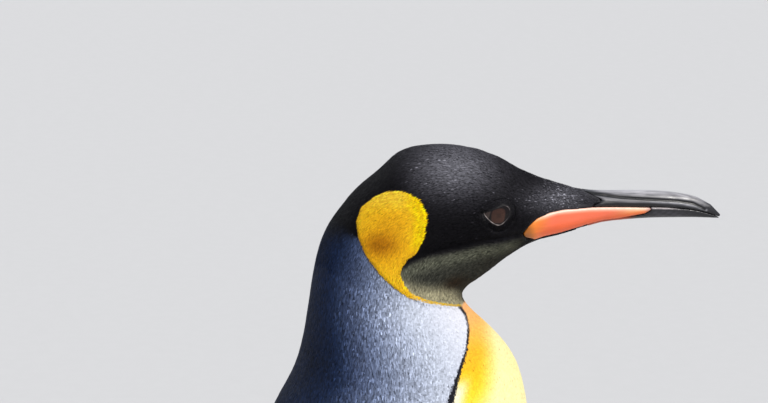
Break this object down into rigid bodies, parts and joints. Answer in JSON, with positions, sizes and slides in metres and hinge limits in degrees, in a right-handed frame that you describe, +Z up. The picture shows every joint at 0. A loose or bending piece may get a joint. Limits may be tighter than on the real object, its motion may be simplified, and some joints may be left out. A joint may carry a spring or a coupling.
{
  "type": "king penguin",
  "caption": "Life-size model of a king penguin standing upright, head level, flippers at its sides, in its black, silver, white and golden coat.",
  "frame": {"origin": "on the floor under the middle of the box that holds the bird", "axes": "+Z up, the bird faces -Y, and its left side is towards +X"},
  "size_m": [0.259, 0.358, 0.8603],
  "materials": {
    "white_feathers": "soft dense white to golden body feathers",
    "slate_feathers": "short silver-grey feathers with pale tips",
    "black_feathers": "very short smooth black feathers with a faint sheen",
    "foot_skin": "dark scaly skin",
    "claw_horn": "polished dark horn",
    "bill_horn": "smooth dark horn with fine lengthwise lines",
    "orange_plate": "smooth glossy orange horn",
    "eye": "wet dark brown eye"
  },
  "bodies": {
    "root": {"trunk": "white_feathers", "neck": "slate_feathers", "head": "black_feathers", "tail": "black_feathers", "wing_left": "slate_feathers", "wing_right": "slate_feathers", "leg_left": "black_feathers", "leg_right": "black_feathers", "foot_left": "foot_skin", "foot_right": "foot_skin", "claw_left_inner": "claw_horn", "claw_left_middle": "claw_horn", "claw_left_outer": "claw_horn", "claw_left_hind": "claw_horn", "claw_right_inner": "claw_horn", "claw_right_middle": "claw_horn", "claw_right_outer": "claw_horn", "claw_right_hind": "claw_horn", "eye_left": "eye", "eye_right": "eye", "bill_upper": "bill_horn", "bill_lower": "bill_horn", "bill_plate_left": "orange_plate", "bill_plate_right": "orange_plate"}
  },
  "joints": []
}
